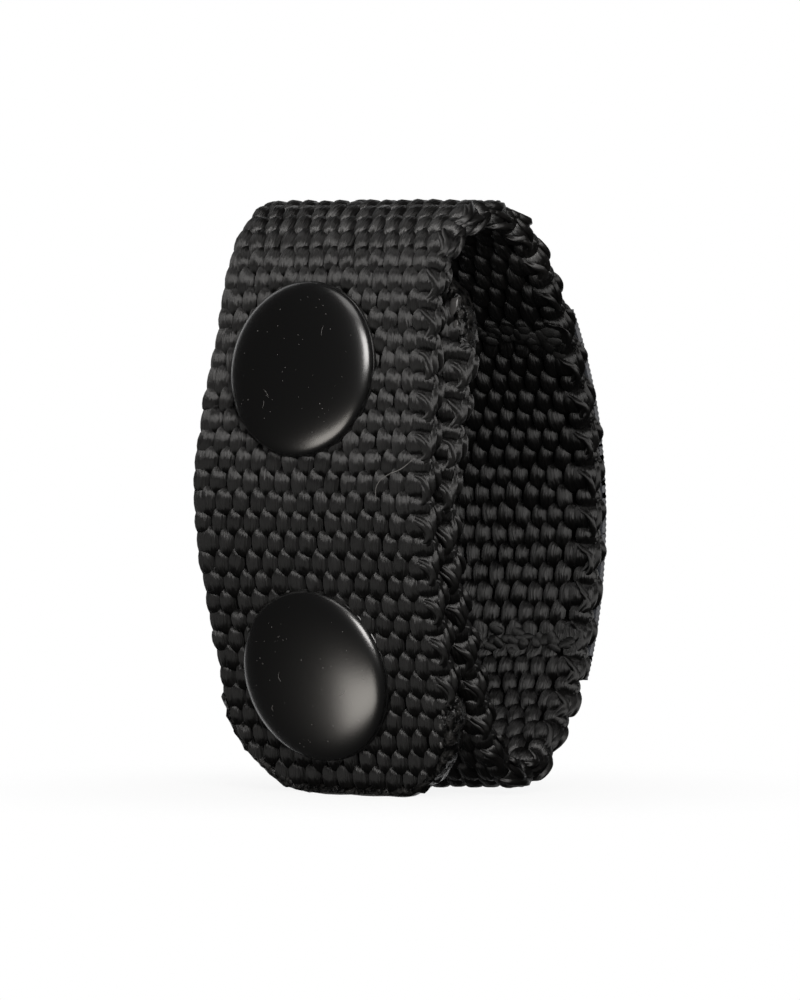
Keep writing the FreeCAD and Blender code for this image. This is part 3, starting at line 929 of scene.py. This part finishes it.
def modelDust(name, dice):
    speck = startPiece(bpy.ops.mesh.primitive_ico_sphere_add, subdivisions=1, radius=1)
    objectMode()
    mapYarn(speck)
    parts = []
    for _ in range(dust["specks"]):
        turn, away = dice.uniform(0, 2 * math.pi), dust["speckReach"] * math.sqrt(dice.random())
        place = Matrix.Translation(domeAt(away * math.cos(turn), away * math.sin(turn)))
        radius = dice.uniform(*dust["speckRadius"])
        parts.append(copyOf(speck, place @ Matrix.Diagonal((radius, radius * 0.5, radius, 1))))
    removeAll(speck)
    for _ in range(dust["fibres"]):
        turn, away = dice.uniform(0, 2 * math.pi), dust["fibreReach"] * math.sqrt(dice.random())
        across, up = away * math.cos(turn), away * math.sin(turn)
        heading = dice.uniform(0, 2 * math.pi)
        bend = dice.uniform(-dust["fibreBend"], dust["fibreBend"])
        length = dice.uniform(*dust["fibreLength"])
        points = []
        for _ in range(dust["fibreSteps"] + 1):
            points.append(domeAt(across, up) + Vector((0, -dust["fibreRadius"], 0)))
            across += length / dust["fibreSteps"] * math.cos(heading)
            up += length / dust["fibreSteps"] * math.sin(heading)
            heading += bend
        parts.append(strandAlong(points, dust["fibreRadius"]))
    return withMaterial(joinAll(parts, name), lint)


for which, snap in snaps.items():
    piece = modelDust(which + "_cap_dust", random.Random(which))
    piece.data.transform(Matrix.Scale(mm, 4) @ snap["place"])
    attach(piece, which + "_flap")
print("dust made")


# The label, a finely ribbed strip of cloth sewn on the back of the rear wall
label = {"width": 24.6, "ribPitch": 0.48, "ribDepth": 0.06, "thickness": 0.6, "level": 2.0,
         "stepsPerRib": 4, "columns": 20, "ribsPerPattern": 8}


def modelLabel():
    start, end = labelRange
    length = end - start
    rows = round(length / label["ribPitch"]) * label["stepsPerRib"]
    sheet = startPiece(bpy.ops.mesh.primitive_grid_add, x_subdivisions=label["columns"],
                       y_subdivisions=rows, size=1)
    objectMode()
    sheet.data.transform(Matrix.Translation((0, (start + end) / 2, label["level"]))
                         @ Matrix.Diagonal((label["width"], length, 1, 1)))
    solid = sheet.modifiers.new("thickness", "SOLIDIFY")
    solid.thickness = label["thickness"]
    solid.offset = -1
    selectOnly(sheet)
    bpy.ops.object.modifier_apply(modifier=solid.name)
    for vertex in sheet.data.vertices:
        if vertex.co.z > label["level"] - label["thickness"] / 2:
            phase = (vertex.co.y - start) / label["ribPitch"] * 2 * math.pi
            vertex.co.z -= label["ribDepth"] * (1 - math.cos(phase))
    mapYarn(sheet)
    for loop, item in zip(sheet.data.loops, sheet.data.uv_layers["yarn"].data):
        across, along, _ = sheet.data.vertices[loop.vertex_index].co
        item.uv = (along / label["ribPitch"] / label["ribsPerPattern"], across)
    sheet.name = sheet.data.name = "label_cloth"
    return withMaterial(sheet, labelCloth)


labelSheet = wrapOnStrip(modelLabel())
smoothed(labelSheet, 50)
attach(labelSheet, "back")
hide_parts("label")
print("label made")


# What the stitches crush on the webbing's inner face: a band of short tufts
tufts = {"count": 70, "reach": 11.6, "spread": 0.6, "level": (-0.89, -0.8), "turn": 0.5,
         "widths": (0.5, 1.0), "lengths": (1.6, 3.0)}


def modelStitch():
    unit = startPiece(bpy.ops.mesh.primitive_cube_add, size=2)
    bpy.ops.mesh.subdivide(number_cuts=2)
    bpy.ops.transform.tosphere(value=1.0)
    bpy.ops.transform.resize(value=(stitching["length"] / 2, stitching["radius"],
                                    stitching["radius"]))
    bpy.ops.transform.rotate(value=math.radians(stitching["slant"]), orient_axis="Z",
                             center_override=(0, 0, 0))
    objectMode()
    unit.name = "stitch"
    mapYarn(unit)
    return unit


def stitchRow(unit, along, name, dice):
    # neat thread on the label's face, and on the webbing's inner face a band of crushed tufts
    count = int(label["width"] / stitching["pitch"])
    parts = []
    for number in range(count):
        across = (number - (count - 1) / 2) * stitching["pitch"]
        spreadAcross, spreadAlong = stitching["jitter"]
        place = Matrix.Translation((across + dice.gauss(0, spreadAcross),
                                    along + dice.gauss(0, spreadAlong),
                                    label["level"] + stitching["proud"]))
        parts.append(copyOf(unit, place))
        shiftYarnMap(parts[-1], dice)
    thread = withMaterial(joinAll(parts, "thread"), threadNylon)
    parts = []
    for _ in range(tufts["count"]):
        place = Matrix.Translation((dice.uniform(-tufts["reach"], tufts["reach"]),
                                    along + dice.gauss(0, tufts["spread"]),
                                    dice.uniform(*tufts["level"])))
        place @= Matrix.Rotation(dice.uniform(-tufts["turn"], tufts["turn"]), 4, "Z")
        place @= Matrix.Diagonal((dice.uniform(*tufts["widths"]),
                                  dice.uniform(*tufts["lengths"]), 1, 1))
        parts.append(copyOf(unit, place))
        shiftYarnMap(parts[-1], dice)
    crushed = withMaterial(joinAll(parts, "tufts"), crushedNylon)
    return joinAll([thread, crushed], name)


stitchUnit = modelStitch()
for name, along in zip(("label_bottom_stitching", "label_top_stitching"), stitching["rows"]):
    piece = wrapOnStrip(stitchRow(stitchUnit, along, name + "_thread", random.Random(name)))
    smoothed(piece, 80)
    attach(piece, "back")
    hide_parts(name)
removeAll(stitchUnit)
print("stitches made")

# One loose fibre that lies across the outer flap below the upper snap
looseFibre = {
    "radius": 0.035,
    "path": [(7.8, 140.3, 1.5), (8.2, 139.0, 1.95), (9.5, 138.1, 2.1), (10.9, 137.6, 2.05),
             (12.1, 136.7, 1.8)],
}
stray = withMaterial(strandAlong(looseFibre["path"], looseFibre["radius"]), lint)
stray.name = stray.data.name = "stray_fibre"
wrapOnStrip(stray)
smoothed(stray, 80)
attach(stray, "upper_flap")
print("loose fibre made")


# Stage, lamps and camera
camera = {"distance": 0.8, "azimuth": 36.5, "elevation": 1.5, "focalPixels": 8960,
          "aim": (0, 0, 0.0259)}


def direction(azimuth, elevation):
    # azimuth 0 is the front, positive to the right
    a, e = math.radians(azimuth), math.radians(elevation)
    return Vector((math.sin(a) * math.cos(e), -math.cos(a) * math.cos(e), math.sin(e)))


def addCamera():
    data = bpy.data.cameras.new("camera")
    obj = bpy.data.objects.new("camera", data)
    bpy.context.scene.collection.objects.link(obj)
    back = direction(camera["azimuth"], camera["elevation"])
    obj.location = Vector(camera["aim"]) + back * camera["distance"]
    obj.rotation_euler = back.to_track_quat("Z", "Y").to_euler()
    data.sensor_width = 36
    data.lens = camera["focalPixels"] / 1000 * data.sensor_width
    data.clip_start = 0.05
    bpy.context.scene.camera = obj


# Softboxes round the keeper; each leaves the pieces that it spares unlit, as a flag would
lampDistance = 0.7
lampAim = Vector((0, 0, 0.026))
straps = [piece[0] for piece in strapPieces]
capShells = ["upper_cap_shell", "lower_cap_shell"]
lamps = {
    "key_softbox": {"azimuth": 44.5, "elevation": 29, "size": (0.36, 0.38), "radiance": 6.5,
                    "color": (1, 0.975, 0.955), "spares": ["strap_rear_wall"]},
    "top_softbox": {"azimuth": 30, "elevation": 74, "size": (0.4, 0.4), "radiance": 1.3,
                    "color": (1, 0.975, 0.955), "spares": []},
    "low_softbox": {"azimuth": -3, "elevation": -34, "size": (0.5, 0.28), "radiance": 2.4,
                    "color": (1, 0.95, 0.88), "spares": straps},
    "front_fill": {"azimuth": 5, "elevation": -18, "size": (0.9, 0.6), "radiance": 0.5,
                   "color": (1, 0.98, 0.95), "spares": ["strap_rear_wall", *capShells]},
    "inside_softbox": {"azimuth": 66, "elevation": 14, "size": (0.6, 0.5), "radiance": 2.6,
                       "color": (1, 0.98, 0.96),
                       "spares": ["strap_outer_flap", "strap_shoulder", "strap_inner_flap",
                                  *capShells]},
    "backdrop_glow": {"azimuth": 216, "elevation": 5, "size": (1.4, 1.2), "radiance": 1.0,
                      "color": (1, 1, 1), "spares": []},
}


def addLamp(name, azimuth, elevation, size, radiance, color, spares):
    data = bpy.data.lights.new(name, "AREA")
    data.shape = "RECTANGLE"
    data.size, data.size_y = size
    data.energy = radiance * math.pi * size[0] * size[1]
    data.color = color
    obj = bpy.data.objects.new(name, data)
    bpy.context.scene.collection.objects.link(obj)
    back = direction(azimuth, elevation)
    obj.location = lampAim + back * lampDistance
    obj.rotation_euler = back.to_track_quat("Z", "Y").to_euler()
    obj.visible_camera = False
    if spares:
        spared = bpy.data.collections.new(name + "_spared")
        for piece in spares:
            spared.objects.link(bpy.data.objects[piece])
        obj.light_linking.receiver_collection = spared
        for item in spared.collection_objects:
            item.light_linking.link_state = "EXCLUDE"


def addWorld():
    world = bpy.data.worlds.new("studio")
    bpy.context.scene.world = world
    world.use_nodes = True
    nodes, links = world.node_tree.nodes, world.node_tree.links
    background = nodes["Background"]
    background.inputs["Color"].default_value = (1, 1, 1, 1)
    rays = addNode(nodes, "ShaderNodeLightPath")
    level = addNode(nodes, "ShaderNodeMapRange", {"To Min": 0.02, "To Max": 1.0})
    links.new(rays.outputs["Is Camera Ray"], level.inputs["Value"])
    links.new(level.outputs["Result"], background.inputs["Strength"])


def addFloor():
    # it shows only near the keeper, and fades into the white behind
    selectNone()
    bpy.ops.mesh.primitive_plane_add(size=3)
    floor = bpy.context.active_object
    floor.name = "floor"
    material, nodes, links = newMaterial("pale_floor")
    nodes.remove(nodes["Principled BSDF"])
    place = addNode(nodes, "ShaderNodeTexCoord")
    away = addNode(nodes, "ShaderNodeVectorMath", operation="LENGTH")
    links.new(place.outputs["Object"], away.inputs[0])
    fade = addNode(nodes, "ShaderNodeMapRange", {"From Max": 0.05, "To Min": 0.12, "To Max": 0.0},
                   interpolation_type="SMOOTHSTEP")
    links.new(away.outputs["Value"], fade.inputs["Value"])
    rays = addNode(nodes, "ShaderNodeLightPath")
    share = addNode(nodes, "ShaderNodeMath", operation="MULTIPLY")
    links.new(fade.outputs["Result"], share.inputs[0])
    links.new(rays.outputs["Is Camera Ray"], share.inputs[1])
    paint = addNode(nodes, "ShaderNodeBsdfDiffuse", {"Color": (0.82, 0.82, 0.82, 1)})
    clear = addNode(nodes, "ShaderNodeBsdfTransparent")
    mix = addNode(nodes, "ShaderNodeMixShader")
    links.new(share.outputs["Value"], mix.inputs["Fac"])
    links.new(clear.outputs["BSDF"], mix.inputs[1])
    links.new(paint.outputs["BSDF"], mix.inputs[2])
    links.new(mix.outputs["Shader"], nodes["Material Output"].inputs["Surface"])
    withMaterial(floor, material)


addCamera()
for name, lamp in lamps.items():
    addLamp(name, **lamp)
addWorld()
addFloor()
bpy.context.scene.view_settings.view_transform = "Standard"
print("stage made")
